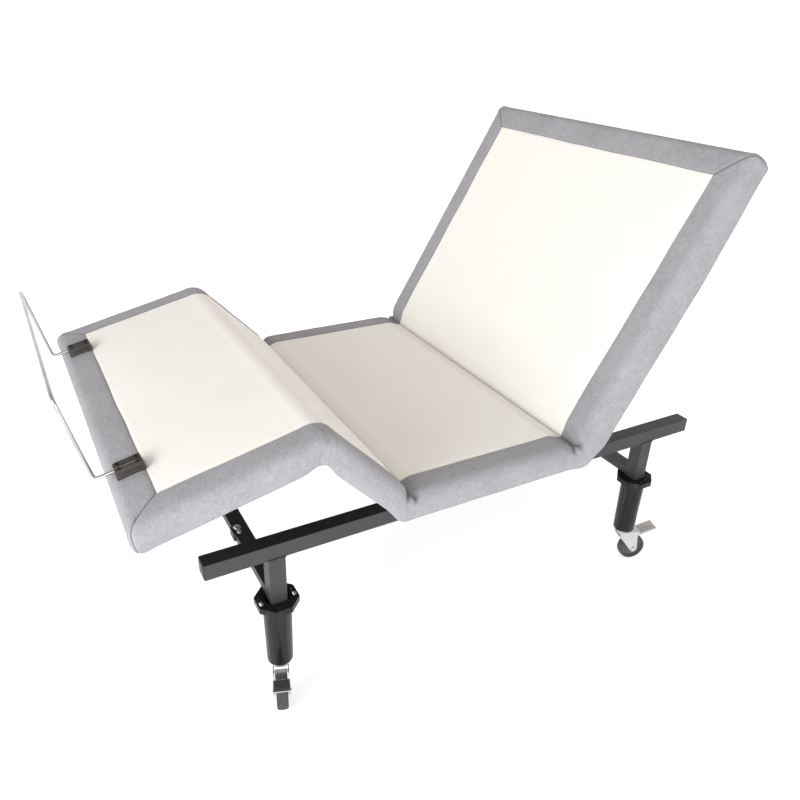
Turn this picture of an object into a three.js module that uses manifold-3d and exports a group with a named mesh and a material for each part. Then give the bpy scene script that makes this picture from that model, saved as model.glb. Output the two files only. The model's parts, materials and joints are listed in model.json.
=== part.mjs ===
// Adjustable bed base: four upholstered sections hinged in a row on a steel underframe with
// four braked casters. Two push actuators lift the head section and the thigh section, and the
// calf section folds down from the knee. Millimetres, +X towards the head end, +Z up. Left is
// the side at -Y. The sections are drawn raised, which is the zero of every joint.
import * as THREE from 'three';
import { mergeVertices } from 'three/addons/utils/BufferGeometryUtils.js';
import Module from 'manifold-3d';

const wasm = await Module();
wasm.setup();

// Upholstered sections
const bedWidth = 1040;
const seatTop = 584;
const seatLength = 531.8;
const headLength = 850.9;
const thighLength = 281.3;
const calfLength = 405.6;
const headAngle = 59.1;
const thighAngle = 46.4;
const calfSlope = 13.1;
const hingeDepth = 47;
const foamThickness = 22;
const boardThickness = 12;
const skirtDepth = 70;
const headSkirtDepth = 95;
const skirtWidth = 20;

// Steel frame under the sections
const tubeSize = 25;
const tubeWall = 2;
const hingeRodRadius = 6;
const sidePlateThickness = 8;
const sidePlateY = 404;
const sideTubeY = 376;
const calfTubeY = 350.2;
const liftTubeWidth = 30;
const liftTubeStart = 30;

// Underframe
const railSize = 40;
const railWall = 2.5;
const railTop = 488;
const railStart = -467.6;
const railEnd = 1016.6;
const railY = 408;
const postFootX = -303;
const postHeadX = 858;
const postDepthInLeg = 25;
const drainRadius = 4;
const drainBesidePost = 60;
const crossTubeHeight = 22.6;

// Legs
const legTop = 319;
const legBottom = 122;
const legRadius = 35;
const legFootRadius = 32;
const legBore = 29.2;
const legSolidBottom = 48;
const collarHeight = 16;
const collarAcrossFlats = 100;
const slotMiddle = 41.5;
const slotHalfWidth = 4;
const slotHalfLength = 14;

// Casters
const wheelRadius = 42.5;
const wheelHalfWidth = 14.5;
const casterTrail = 40;
const axleRadius = 4;
const stemRadius = 6;
const stemLength = 38;
const forkPlate = 2.5;
const forkHalfWidth = 20;
const forkTop = legBottom - 0.4;
const crownBottom = 110;
const pedalPivot = new THREE.Vector2(28, 102);
const pedalReach = 106;

// Lift gear
const hornDepth = 125;
const hornReach = 158;
const hornThickness = 14;
const hornWidth = 24;
const rollerRadius = 15;
const rollerGap = 2.5;
const actuatorY = 120;
const motorTubeX = 216;
const motorTubeTop = 480;

// Mattress retainer
const retainerHalfWidth = 330;
const retainerOut = 423.1;
const retainerHeight = 212;
const wireRadius = 4;
const wireLift = 15;
const clampStart = 323;
const clampEnd = 384;
const clampWidth = 38;
const clampHeight = 22;

const gap = 0.3;

const radians = (degrees) => THREE.MathUtils.degToRad(degrees);
const axisHeight = seatTop - hingeDepth;
const thighAxisX = -hingeDepth * Math.tan(radians(thighAngle / 2));
const headAxisX = thighAxisX + seatLength;
const kneeAngle = thighAngle + calfSlope;

const finish = {
  fabric: { color: 0xb3b1b4, roughness: 0.95, metalness: 0 },
  board: { color: 0x2e2723, roughness: 0.6, metalness: 0 },
  blackSteel: { color: 0x3b3d40, roughness: 0.5, metalness: 0.3 },
  legSteel: { color: 0x3a3c3f, roughness: 0.38, metalness: 0.3 },
  zinc: { color: 0xc8cbce, roughness: 0.3, metalness: 0.9 },
  wheelRubber: { color: 0x4a4b4e, roughness: 0.7, metalness: 0 },
  chrome: { color: 0xd8dadc, roughness: 0.15, metalness: 1 },
  brownPlastic: { color: 0x3d3632, roughness: 0.5, metalness: 0 },
  blackPlastic: { color: 0x232426, roughness: 0.6, metalness: 0 },
};

// ---- geometry helpers ----

function solidOf(geometry) {
  const bare = geometry.clone();
  bare.deleteAttribute('normal');
  bare.deleteAttribute('uv');
  const merged = mergeVertices(bare, 1e-4);
  const mesh = new wasm.Mesh({
    numProp: 3,
    vertProperties: new Float32Array(merged.attributes.position.array),
    triVerts: new Uint32Array(merged.index.array),
  });
  return new wasm.Manifold(mesh);
}

function geometryOf(solid) {
  const mesh = solid.getMesh();
  const geometry = new THREE.BufferGeometry();
  geometry.setAttribute('position', new THREE.BufferAttribute(mesh.vertProperties, 3));
  geometry.setIndex(new THREE.BufferAttribute(mesh.triVerts, 1));
  geometry.computeVertexNormals();
  return geometry;
}

function join(...geometries) {
  const [first, ...rest] = geometries.map(solidOf);
  return geometryOf(rest.reduce((whole, piece) => whole.add(piece), first));
}

function cut(body, ...tools) {
  return geometryOf(tools.map(solidOf).reduce((whole, tool) => whole.subtract(tool), solidOf(body)));
}

function block([x0, x1], [y0, y1], [z0, z1]) {
  const geometry = new THREE.BoxGeometry(x1 - x0, y1 - y0, z1 - z0);
  return geometry.translate((x0 + x1) / 2, (y0 + y1) / 2, (z0 + z1) / 2);
}

// A cylinder along the named axis, from one place on that axis to another.
function rod(axis, radius, [from, to], [a, b], sides = 24) {
  const geometry = new THREE.CylinderGeometry(radius, radius, to - from, sides);
  const middle = (from + to) / 2;
  if (axis === 'x') return geometry.rotateZ(-Math.PI / 2).translate(middle, a, b);
  if (axis === 'y') return geometry.translate(a, middle, b);
  return geometry.rotateX(Math.PI / 2).translate(a, b, middle);
}

// A shape drawn in X and Z, given thickness from one Y to another.
function plate(shape, [y0, y1], curveSegments = 8) {
  const options = { depth: y1 - y0, bevelEnabled: false, curveSegments };
  return new THREE.ExtrudeGeometry(shape, options).rotateX(Math.PI / 2).translate(0, y1, 0);
}

function outline(points) {
  return new THREE.Shape(points.map(([x, z]) => new THREE.Vector2(x, z)));
}

function roundHole(x, z, radius) {
  const hole = new THREE.Path();
  hole.absarc(x, z, radius, 0, Math.PI * 2, true);
  return hole;
}

// A square tube along X with open ends.
function squareTube([x0, x1], width, height, wall) {
  const rectangle = (w, h) => [[-w, -h], [w, -h], [w, h], [-w, h]].map(([a, b]) => new THREE.Vector2(a, b));
  const shape = new THREE.Shape(rectangle(width / 2, height / 2));
  shape.holes.push(new THREE.Path(rectangle(width / 2 - wall, height / 2 - wall).reverse()));
  const tube = new THREE.ExtrudeGeometry(shape, { depth: x1 - x0, bevelEnabled: false });
  return tube.rotateZ(Math.PI / 2).rotateY(Math.PI / 2).translate(x0, 0, 0);
}

function addPiece(group, name, geometry, material) {
  const mesh = new THREE.Mesh(geometry, new THREE.MeshStandardMaterial(finish[material]));
  mesh.name = name;
  group.add(mesh);
  return mesh;
}

const sides = [['left', -1], ['right', 1]];

// A band of Y on the side given by its sign, between two distances from the middle.
function sideBand(sign, inner, outer) {
  return sign < 0 ? [-outer, -inner] : [inner, outer];
}

// ---- upholstered sections ----

// Each section is drawn in its own frame: its hinge axis is the origin, it runs along `way`
// (+1 or -1 on X), and its upper surface lies at hingeDepth. An end leans back from the hinge
// above the axis where the fold closes upwards, and below the axis where it closes downwards.
function endProfile(position, side, foldUp, foldDown, depth = skirtDepth) {
  const clear = 0.6;
  const below = depth - hingeDepth;
  const above = hingeDepth;
  return [
    [position - side * (clear + below * Math.tan(radians(foldDown / 2))), -below],
    [position - side * clear, 0],
    [position - side * (clear + above * Math.tan(radians(foldUp / 2))), above],
  ];
}

function freeEnd(position, side, depth = skirtDepth) {
  const below = depth - hingeDepth;
  const soft = 8;
  return [
    [position - side * soft, -below],
    [position, -below + soft],
    [position, hingeDepth - soft],
    [position - side * soft, hingeDepth],
  ];
}

// The upholstery is an inverted tray: a foam top with a padded skirt down each outer side.
function upholstery(way, nearEnd, farEnd, cavity) {
  const points = [...nearEnd, ...farEnd.reverse()].map(([u, w]) => [way * u, w]);
  const body = plate(outline(points), [-bedWidth / 2, bedWidth / 2]);
  const inside = bedWidth / 2 - skirtWidth;
  const cavityX = [way * cavity[0], way * cavity[1]].sort((a, b) => a - b);
  const hollow = block(cavityX, [-inside, inside], [-headSkirtDepth, hingeDepth - foamThickness]);
  return cut(body, hollow);
}

function board(way, [u0, u1]) {
  const top = hingeDepth - foamThickness - gap;
  const halfWidth = bedWidth / 2 - skirtWidth - 1;
  const ends = [way * u0, way * u1].sort((a, b) => a - b);
  return block(ends, [-halfWidth, halfWidth], [top - boardThickness, top]);
}

// A side tube with an eye for the hinge rod at its start and, on the thigh, one at its end too.
function sideTube(way, length, endEye, band) {
  const half = tubeSize / 2 - 0.1;
  const shape = new THREE.Shape();
  const start = way > 0 ? Math.PI / 2 : -Math.PI / 2;
  shape.absarc(0, 0, half, start, start + Math.PI, false);
  if (endEye) {
    shape.absarc(way * length, 0, half, start + Math.PI, start + 2 * Math.PI, false);
  } else {
    shape.lineTo(way * length, -way * half);
    shape.lineTo(way * length, way * half);
  }
  shape.holes.push(roundHole(0, 0, hingeRodRadius + 0.4));
  if (endEye) shape.holes.push(roundHole(way * length, 0, hingeRodRadius + 0.4));
  const inner = half - tubeWall;
  const eyeLength = 2 * tubeSize;
  const hollowEnd = endEye ? length - eyeLength : length + 1;
  const hollowX = [way * eyeLength, way * hollowEnd].sort((a, b) => a - b);
  const middle = [band[0] + tubeWall, band[1] - tubeWall];
  // The thigh tube's hollow opens through a slot in its underside, the others' at the free end.
  const hollowZ = endEye ? [-half - 1, inner] : [-inner, inner];
  return cut(plate(shape, band, 12), block(hollowX, middle, hollowZ));
}

function liftTube(way) {
  const x0 = way > 0 ? liftTubeStart : -liftTubeStart - liftTubeWidth;
  const end = sideTubeY - gap;
  const tube = squareTube([-end, end], liftTubeWidth, tubeSize, tubeWall);
  return tube.rotateZ(Math.PI / 2).translate(x0 + liftTubeWidth / 2, 0, 0);
}

// A horn hangs from the lift tube. Its pushed face lies on a line through the hinge axis that
// leans by half the fold, so that it swings equally to both sides of the vertical.
function horn(way, foldAngle, y) {
  const lean = radians(90 + foldAngle / 2);
  const along = new THREE.Vector2(Math.cos(lean), -Math.sin(lean));
  const across = new THREE.Vector2(Math.sin(lean), Math.cos(lean));
  const at = (distance, depth) => {
    const point = along.clone().multiplyScalar(distance).addScaledVector(across, depth);
    return [way * point.x, point.y];
  };
  const top = -tubeSize / 2 - gap;
  const points = [
    [way * (liftTubeStart + liftTubeWidth - 2), top],
    [way * (liftTubeStart - 8), top],
    at(20, 0),
    at(hornReach, 0),
    at(hornReach, hornThickness),
    at(hornReach / 2, hornThickness),
    [way * (liftTubeStart + liftTubeWidth - 2), top - 16],
  ];
  return plate(outline(points), [y - hornWidth / 2, y + hornWidth / 2]);
}

function hingeRod(x, halfLength) {
  return rod('y', hingeRodRadius, [-halfLength, halfLength], [x, axisHeight]);
}

function seatSidePlate(band) {
  const eye = tubeSize / 2 - 0.1;
  const foot = railTop + gap;
  const shape = new THREE.Shape();
  shape.absarc(thighAxisX, axisHeight, eye, Math.PI / 2, Math.PI * 1.25, false);
  shape.lineTo(thighAxisX + 34, foot);
  shape.lineTo(headAxisX - 34, foot);
  shape.absarc(headAxisX, axisHeight, eye, -Math.PI * 0.25, Math.PI / 2, false);
  shape.holes.push(roundHole(thighAxisX, axisHeight, hingeRodRadius + gap));
  shape.holes.push(roundHole(headAxisX, axisHeight, hingeRodRadius + gap));
  return plate(shape, band, 12);
}

function seatSection(group) {
  const seat = new THREE.Group();
  seat.position.set(thighAxisX, 0, axisHeight);
  group.add(seat);
  const start = endProfile(0, -1, thighAngle, 0);
  const end = endProfile(seatLength, 1, headAngle, 0);
  addPiece(seat, 'seat_upholstery', upholstery(1, start, end, [-60, seatLength + 60]), 'fabric');
  addPiece(seat, 'seat_board', board(1, [16, seatLength - 16]), 'board');
  for (const [side, sign] of sides) {
    const band = sideBand(sign, sidePlateY, sidePlateY + sidePlateThickness);
    addPiece(group, `seat_side_plate_${side}`, seatSidePlate(band), 'blackSteel');
  }
  const rodReach = sidePlateY + sidePlateThickness + 6;
  addPiece(group, 'head_hinge_rod', hingeRod(headAxisX, rodReach), 'zinc');
  addPiece(group, 'thigh_hinge_rod', hingeRod(thighAxisX, rodReach), 'zinc');
}

function headSection(group) {
  const head = new THREE.Group();
  head.position.set(headAxisX, 0, axisHeight);
  head.rotation.y = -radians(headAngle);
  group.add(head);
  const start = endProfile(0, -1, headAngle, 0, headSkirtDepth);
  const end = freeEnd(headLength, 1, headSkirtDepth);
  const cavity = [-60, headLength - skirtWidth];
  addPiece(head, 'head_upholstery', upholstery(1, start, end, cavity), 'fabric');
  addPiece(head, 'head_board', board(1, [16, headLength - skirtWidth - 1]), 'board');
  for (const [side, sign] of sides) {
    const band = sideBand(sign, sideTubeY, sideTubeY + tubeSize);
    const tube = sideTube(1, headLength - skirtWidth - 10, false, band);
    addPiece(head, `head_side_tube_${side}`, tube, 'blackSteel');
  }
  addPiece(head, 'head_lift_tube', liftTube(1), 'blackSteel');
  addPiece(head, 'head_horn', horn(1, headAngle, -actuatorY), 'blackSteel');
}

function legSections(group) {
  const thigh = new THREE.Group();
  thigh.position.set(thighAxisX, 0, axisHeight);
  thigh.rotation.y = radians(thighAngle);
  group.add(thigh);
  const thighStart = endProfile(0, -1, thighAngle, 0);
  const thighEnd = endProfile(thighLength, 1, 0, kneeAngle);
  const cavity = [-60, thighLength + 60];
  addPiece(thigh, 'thigh_upholstery', upholstery(-1, thighStart, thighEnd, cavity), 'fabric');
  addPiece(thigh, 'thigh_board', board(-1, [16, thighLength - 1]), 'board');
  addPiece(thigh, 'thigh_lift_tube', liftTube(-1), 'blackSteel');
  addPiece(thigh, 'thigh_horn', horn(-1, thighAngle, actuatorY), 'blackSteel');
  const kneeRod = rod('y', hingeRodRadius, [-sideTubeY - 28, sideTubeY + 28], [-thighLength, 0]);
  addPiece(thigh, 'knee_rod', kneeRod, 'zinc');

  const calf = new THREE.Group();
  calf.position.set(-thighLength, 0, 0);
  calf.rotation.y = -radians(kneeAngle);
  thigh.add(calf);
  const calfStart = endProfile(0, -1, 0, kneeAngle);
  const calfCavity = [-60, calfLength - skirtWidth];
  const calfCover = upholstery(-1, calfStart, freeEnd(calfLength, 1), calfCavity);
  addPiece(calf, 'calf_upholstery', calfCover, 'fabric');
  addPiece(calf, 'calf_board', board(-1, [1, calfLength - skirtWidth - 1]), 'board');
  for (const [side, sign] of sides) {
    const thighBand = sideBand(sign, sideTubeY, sideTubeY + tubeSize);
    const calfBand = sideBand(sign, calfTubeY, calfTubeY + tubeSize);
    const calfTube = sideTube(-1, calfLength - skirtWidth - 10, false, calfBand);
    addPiece(thigh, `thigh_side_tube_${side}`, sideTube(-1, thighLength, true, thighBand), 'blackSteel');
    addPiece(calf, `calf_side_tube_${side}`, calfTube, 'blackSteel');
    addPiece(calf, `retainer_clamp_${side}`, retainerClamp(sign * retainerHalfWidth), 'brownPlastic');
  }
  addPiece(calf, 'retainer_bar', retainerBar(), 'chrome');
}

// ---- mattress retainer on the calf section ----

function retainerClamp(y) {
  const base = hingeDepth + gap;
  const slot = wireRadius + 0.5;
  const body = block([-clampEnd, -clampStart], [y - clampWidth / 2, y + clampWidth / 2],
    [base, base + clampHeight]);
  const groove = block([-clampEnd - 1, -clampStart - 4], [y - slot, y + slot],
    [hingeDepth + wireLift - slot, base + clampHeight + 1]);
  return cut(body, groove);
}

function retainerBar() {
  const low = hingeDepth + wireLift;
  const high = hingeDepth + retainerHeight;
  const ball = (y, z) => new THREE.SphereGeometry(wireRadius, 12, 8).translate(-retainerOut, y, z);
  const pieces = [rod('y', wireRadius, [-retainerHalfWidth, retainerHalfWidth], [-retainerOut, high], 12)];
  for (const [, sign] of sides) {
    const y = sign * retainerHalfWidth;
    pieces.push(rod('z', wireRadius, [low, high], [-retainerOut, y], 12));
    pieces.push(rod('x', wireRadius, [-retainerOut, -clampStart - 6], [y, low], 12));
    pieces.push(ball(y, low), ball(y, high));
  }
  return join(...pieces);
}

// ---- underframe and legs ----

function underframe(group) {
  const railMiddle = railTop - railSize / 2;
  const railBottom = railTop - railSize;
  const legX = [['foot', postFootX], ['head', postHeadX]];
  for (const [side, sign] of sides) {
    addPiece(group, `rail_${side}`, rail(), 'blackSteel').position.set(0, sign * railY, railMiddle);
    for (const [end, x] of legX) {
      const post = squareTube([legTop - postDepthInLeg, railBottom - gap], railSize, railSize, railWall);
      post.rotateY(-Math.PI / 2);
      addPiece(group, `post_${end}_${side}`, post, 'blackSteel').position.set(x, sign * railY, 0);
      addPiece(group, `leg_${end}_${side}`, leg(), 'legSteel').position.set(x, sign * railY, 0);
    }
  }
  const reach = railY - railSize / 2 - gap;
  for (const [end, x] of legX) {
    const tube = squareTube([-reach, reach], railSize, crossTubeHeight, railWall).rotateZ(Math.PI / 2);
    const height = legTop + gap + crossTubeHeight / 2;
    addPiece(group, `cross_tube_${end}`, tube, 'blackSteel').position.set(x, 0, height);
  }
  const motorTube = squareTube([-reach, reach], tubeSize, tubeSize, tubeWall).rotateZ(Math.PI / 2);
  const motorTubeMiddle = motorTubeTop - tubeSize / 2;
  addPiece(group, 'motor_tube', motorTube, 'blackSteel').position.set(motorTubeX, 0, motorTubeMiddle);
}

// A square tube closed at both ends, with a drain hole in its underside by each leg.
function rail() {
  const half = railSize / 2;
  const inner = [-half + railWall, half - railWall];
  const hollow = block([railStart + railWall, railEnd - railWall], inner, inner);
  const drainX = [postFootX + drainBesidePost, postHeadX - drainBesidePost];
  const drains = drainX.map((x) => rod('z', drainRadius, [-half - 1, 0], [x, 0], 12));
  return cut(block([railStart, railEnd], [-half, half], [-half, half]), hollow, ...drains);
}

// A round leg with an octagonal collar. The post drops into its open top, and four slots go
// through the collar outside the round part.
function leg() {
  const chamfer = 3;
  const sidesRound = 32;
  const profile = [
    [0, legBottom],
    [legFootRadius - chamfer, legBottom],
    [legFootRadius, legBottom + chamfer],
    [legRadius, legTop - collarHeight],
    [legRadius, legTop - 1],
    [0, legTop - 1],
  ].map(([r, z]) => new THREE.Vector2(r, z));
  const body = new THREE.LatheGeometry(profile, sidesRound).rotateX(Math.PI / 2);
  const circumradius = collarAcrossFlats / 2 / Math.cos(Math.PI / 8);
  const collar = new THREE.CylinderGeometry(circumradius, circumradius, collarHeight, 8, 1, false, Math.PI / 8);
  collar.rotateX(Math.PI / 2).translate(0, 0, legTop - collarHeight / 2);
  const tools = [
    rod('z', legBore, [legBottom + legSolidBottom, legTop + 1], [0, 0], sidesRound),
    rod('z', stemRadius + 0.4, [legBottom - 1, legBottom + stemLength + 2], [0, 0], 20),
  ];
  const slotDepth = [legTop - collarHeight - 1, legTop + 1];
  for (const sign of [-1, 1]) {
    const across = [sign * slotMiddle - slotHalfWidth, sign * slotMiddle + slotHalfWidth];
    const length = [-slotHalfLength, slotHalfLength];
    tools.push(block(across, length, slotDepth), block(length, across, slotDepth));
  }
  return cut(join(body, collar), ...tools);
}

// ---- casters ----

function wheel() {
  const half = wheelHalfWidth;
  const profile = [
    [axleRadius + 0.4, -half - 0.5],
    [11, -half - 0.5],
    [13, -half + 3.5],
    [29, -half + 3.5],
    [31, -half + 0.5],
    [38, -half],
    [wheelRadius, -half + 5],
    [wheelRadius, half - 5],
    [38, half],
    [31, half - 0.5],
    [29, half - 3.5],
    [13, half - 3.5],
    [11, half + 0.5],
    [axleRadius + 0.4, half + 0.5],
    [axleRadius + 0.4, -half - 0.5],
  ].map(([r, y]) => new THREE.Vector2(r, y));
  return new THREE.LatheGeometry(profile, 24).translate(casterTrail, 0, wheelRadius);
}

function axle() {
  const headRadius = 7;
  const inner = forkHalfWidth + gap;
  const outer = inner + 3;
  const profile = [[0, -outer], [headRadius, -outer], [headRadius, -inner], [axleRadius, -inner],
    [axleRadius, inner], [headRadius, inner], [headRadius, outer], [0, outer]];
  const points = profile.map(([r, y]) => new THREE.Vector2(r, y));
  return new THREE.LatheGeometry(points, 16).translate(casterTrail, 0, wheelRadius);
}

function fork() {
  const bridgeBottom = crownBottom - 8;
  const cheek = new THREE.Shape();
  cheek.moveTo(-16, crownBottom);
  cheek.lineTo(-16, bridgeBottom - 6);
  cheek.absarc(casterTrail, wheelRadius, 11, Math.PI * 1.25, Math.PI * 2.02, false);
  cheek.lineTo(44, crownBottom);
  cheek.holes.push(roundHole(casterTrail, wheelRadius, axleRadius + gap));
  cheek.holes.push(roundHole(pedalPivot.x, pedalPivot.y, 3));
  const cheeks = sides.map(([, sign]) => plate(cheek, sideBand(sign, forkHalfWidth - forkPlate, forkHalfWidth)));
  const bridge = block([-16, 12], [-forkHalfWidth + 0.5, forkHalfWidth - 0.5], [bridgeBottom, crownBottom]);
  const crown = [[0, crownBottom - 2], [22, crownBottom - 2], [25, crownBottom + 4], [23, forkTop],
    [stemRadius, forkTop], [stemRadius, forkTop + stemLength], [0, forkTop + stemLength]];
  const points = crown.map(([r, z]) => new THREE.Vector2(r, z));
  return join(new THREE.LatheGeometry(points, 24).rotateX(Math.PI / 2), bridge, ...cheeks);
}

// The brake pedal turns on its own pin in the fork, and its shoe stops just short of the tyre.
function pedal() {
  const armOutline = [[20, 97], [32, 89.2], [50, 89.2], [60, 98], [59, 104], [34, 104.5], [24, 104.5], [20, 101]];
  const arm = plate(outline(armOutline), [-15, 15]);
  const tread = outline([[55, 98], [pedalReach - 2, 114], [pedalReach, 119], [56, 104]]);
  const pin = rod('y', 2.6, [-forkHalfWidth + 0.2, forkHalfWidth - 0.2], [pedalPivot.x, pedalPivot.y], 12);
  return join(arm, plate(tread, [-21, 21]), pin);
}

// Each caster trails its leg in the direction it was last rolled.
const casters = [
  ['foot_left', postFootX, -railY, -109],
  ['foot_right', postFootX, railY, -150],
  ['head_left', postHeadX, -railY, -16],
  ['head_right', postHeadX, railY, 24],
];

function casterSet(group) {
  for (const [place, x, y, heading] of casters) {
    const caster = new THREE.Group();
    caster.position.set(x, y, 0);
    caster.rotation.z = radians(heading);
    group.add(caster);
    addPiece(caster, `caster_fork_${place}`, fork(), 'zinc');
    addPiece(caster, `caster_wheel_${place}`, wheel(), 'wheelRubber');
    addPiece(caster, `caster_axle_${place}`, axle(), 'zinc');
    addPiece(caster, `caster_pedal_${place}`, pedal(), 'zinc');
  }
}

// ---- lift gear under the seat ----

// One push actuator. It lies below the motor tube and pushes along `way` against the horn of
// the section whose hinge is at axisX. The rod is drawn out, because the section is raised.
function actuator(group, name, way, axisX, foldAngle, y) {
  const z = axisHeight - hornDepth;
  const lean = radians(foldAngle / 2);
  const swing = hornDepth * Math.tan(lean);
  const rollerBehindHorn = rollerRadius / Math.cos(lean) + rollerGap;
  const rollerOut = axisX + way * (swing - rollerBehindHorn);
  const rollerIn = rollerOut - way * 2 * swing;
  const front = rollerIn - way * 23;
  const boreEnd = front - way * (2 * swing + 16);
  const span = (a, b) => [Math.min(a, b), Math.max(a, b)];
  const gearbox = span(boreEnd + way * 4, boreEnd - way * 52);
  const motorY = y + Math.sign(y) * 58;
  const housing = join(
    rod('x', 22, span(front, boreEnd - way * 10), [y, z], 24),
    block(gearbox, span(y - Math.sign(y) * 28, motorY + Math.sign(y) * 30), [z - 30, z + 28]),
    rod('x', 27, span(boreEnd, boreEnd + way * 110), [motorY, z - 2], 24),
    block([motorTubeX - 9, motorTubeX + 9], [y - 8, y + 8], [z, motorTubeTop - tubeSize - gap]),
  );
  const bore = rod('x', 11.6, span(front + way, boreEnd), [y, z], 20);
  addPiece(group, `${name}_actuator`, cut(housing, bore), 'blackPlastic');
  const rodInner = front - way * 14;
  const push = join(
    rod('x', 11, span(rodInner, rollerOut), [y, z], 20),
    rod('y', rollerRadius, [y - hornWidth / 2, y + hornWidth / 2], [rollerOut, z], 24),
  );
  addPiece(group, `${name}_push_rod`, push, 'chrome');
}

// The control box hangs from the seat board, with its mains inlet facing the foot end.
function controlBox(group) {
  const top = seatTop - foamThickness - boardThickness - 2 * gap;
  const shell = block([270, 440], [170, 290], [top - 46, top]);
  const inlet = block([262, 280], [215, 245], [top - 38, top - 14]);
  addPiece(group, 'control_box', join(shell, inlet), 'blackPlastic');
}

// ---- assembly ----

const bed = new THREE.Group();
underframe(bed);
seatSection(bed);
headSection(bed);
legSections(bed);
casterSet(bed);
actuator(bed, 'head', 1, headAxisX, headAngle, -actuatorY);
actuator(bed, 'thigh', -1, thighAxisX, thighAngle, actuatorY);
controlBox(bed);

// The origin is the middle of the bed's footprint, on the floor.
const extent = new THREE.Box3().setFromObject(bed, true);
bed.position.set(-(extent.min.x + extent.max.x) / 2, 0, -extent.min.z);
const model = new THREE.Group();
model.add(bed);

export default model;
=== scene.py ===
# Adjustable bed base: padded covers, steel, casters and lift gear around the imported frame.
# Metres, +X towards the head end, +Z up. Left is the side at -Y.
import json
import math
import bmesh
import bpy
import numpy as np
from mathutils import Matrix, Vector


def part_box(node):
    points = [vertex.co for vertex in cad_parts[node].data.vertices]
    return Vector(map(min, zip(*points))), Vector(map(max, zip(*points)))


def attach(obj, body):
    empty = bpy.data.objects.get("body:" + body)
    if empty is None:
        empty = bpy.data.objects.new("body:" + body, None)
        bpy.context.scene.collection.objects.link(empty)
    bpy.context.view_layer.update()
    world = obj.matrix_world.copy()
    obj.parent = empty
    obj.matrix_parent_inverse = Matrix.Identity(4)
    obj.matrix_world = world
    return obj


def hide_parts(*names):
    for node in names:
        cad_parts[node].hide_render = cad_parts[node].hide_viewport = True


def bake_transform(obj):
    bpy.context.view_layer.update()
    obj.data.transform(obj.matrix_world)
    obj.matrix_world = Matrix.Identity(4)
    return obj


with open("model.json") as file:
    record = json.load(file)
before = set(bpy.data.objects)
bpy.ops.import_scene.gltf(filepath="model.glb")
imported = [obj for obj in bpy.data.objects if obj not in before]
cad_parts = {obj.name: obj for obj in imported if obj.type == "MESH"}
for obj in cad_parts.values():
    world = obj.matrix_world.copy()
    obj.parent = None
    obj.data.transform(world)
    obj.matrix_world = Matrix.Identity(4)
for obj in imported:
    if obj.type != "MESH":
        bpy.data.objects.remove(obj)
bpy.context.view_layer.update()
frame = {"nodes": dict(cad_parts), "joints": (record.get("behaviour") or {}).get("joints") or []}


cameraValues = {
    "place": (-0.8891, -1.6858, 1.5480),
    "yaw": 59.893,
    "pitch": -27.697,
    "roll": 2.042,
    "lens": 32.975,
    "sensorWidth": 36.0,
}

lightValues = {
    "sky": (1.0, 0.93, 0.885),
    "skyStrength": 0.68,
    "lampTint": (0.93, 1.0, 1.06),
    "lamps": [
        # name, place, aim, width, height, watts
        ("sideLamp", (-0.4, -3.6, 0.9), (0.1, 0.0, 0.5), 2.6, 1.4, 42.0),
        ("footLamp", (-2.6, -1.2, 1.45), (0.3, 0.0, 0.75), 1.4, 1.1, 43.0),
    ],
    "floor": (0.93, 0.93, 0.93),
    "floorGlow": 0.48,
    "floorSides": 48,
    "floorSweep": ((30, 0), (60, 0.0), (66, 0.6), (72, 4.0), (76, 14.0), (78, 38.0)),
}


def aimed(forward, roll=0.0):
    # rotation of a camera or lamp that looks along forward
    right = forward.cross(Vector((0, 0, 1))).normalized()
    up = right.cross(forward)
    turnedRight = right * math.cos(roll) + up * math.sin(roll)
    turnedUp = up * math.cos(roll) - right * math.sin(roll)
    return Matrix((turnedRight, turnedUp, -forward)).transposed().to_4x4()


def placeCamera(values):
    yaw = math.radians(values["yaw"])
    pitch = math.radians(values["pitch"])
    forward = Vector((math.cos(pitch) * math.cos(yaw), math.cos(pitch) * math.sin(yaw), math.sin(pitch)))
    lens = bpy.data.cameras.new("camera")
    lens.lens = values["lens"]
    lens.sensor_width = values["sensorWidth"]
    camera = bpy.data.objects.new("camera", lens)
    camera.matrix_world = Matrix.Translation(values["place"]) @ aimed(forward, math.radians(values["roll"]))
    bpy.context.collection.objects.link(camera)
    bpy.context.scene.camera = camera


def placeLights(values):
    world = bpy.data.worlds.new("studio")
    world.use_nodes = True
    background = world.node_tree.nodes["Background"]
    background.inputs["Color"].default_value = (*values["sky"], 1.0)
    background.inputs["Strength"].default_value = values["skyStrength"]
    bpy.context.scene.world = world
    for name, place, aim, width, height, watts in values["lamps"]:
        lamp = bpy.data.lights.new(name, "AREA")
        lamp.shape = "RECTANGLE"
        lamp.size = width
        lamp.size_y = height
        lamp.energy = watts
        lamp.color = values["lampTint"]
        holder = bpy.data.objects.new(name, lamp)
        forward = (Vector(aim) - Vector(place)).normalized()
        holder.matrix_world = Matrix.Translation(place) @ aimed(forward)
        bpy.context.collection.objects.link(holder)


bpy.context.scene.view_settings.view_transform = "Standard"
placeCamera(cameraValues)
placeLights(lightValues)
print("camera and lights placed")


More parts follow.
